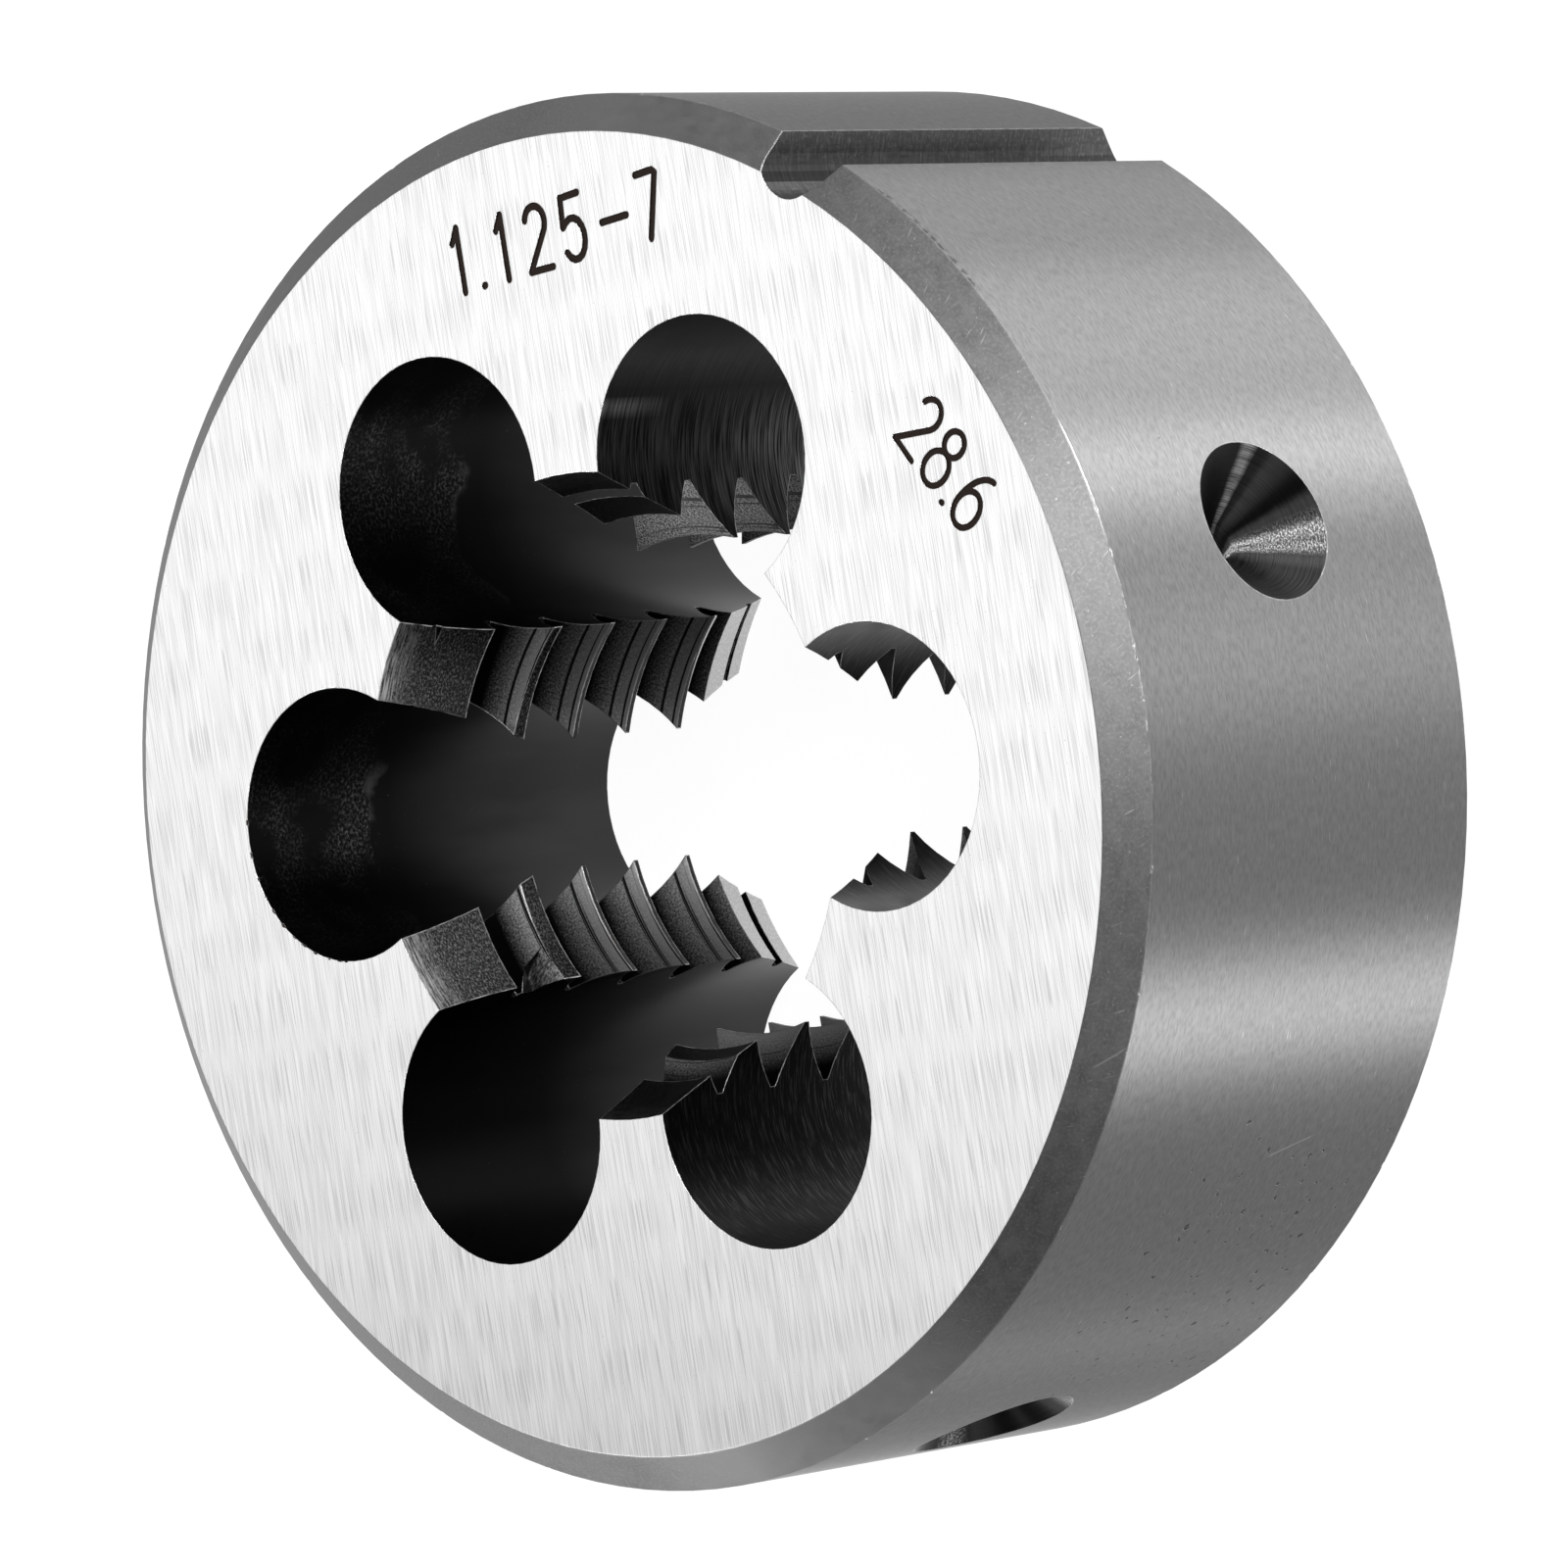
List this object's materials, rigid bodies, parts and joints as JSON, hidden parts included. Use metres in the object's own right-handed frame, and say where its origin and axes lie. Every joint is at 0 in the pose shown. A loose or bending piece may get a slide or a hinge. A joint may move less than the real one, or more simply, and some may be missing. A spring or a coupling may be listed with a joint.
{
  "type": "round threading die",
  "caption": "Thick steel threading die with chip holes round a toothed bore, an adjusting notch and conical screw dimples in its rim.",
  "frame": {"origin": "centre of the rear face, on the die's axis, where the die rests", "axes": "+Z along the die's axis towards the marked face; +Y towards the adjusting notch; +X to the right of it seen from the marked face"},
  "size_m": [0.065, 0.0649, 0.025],
  "materials": {
    "tool_steel": "ground and brushed tool steel, dark inside the chip holes"
  },
  "bodies": {
    "root": {"threading_die": "tool_steel"}
  },
  "joints": []
}
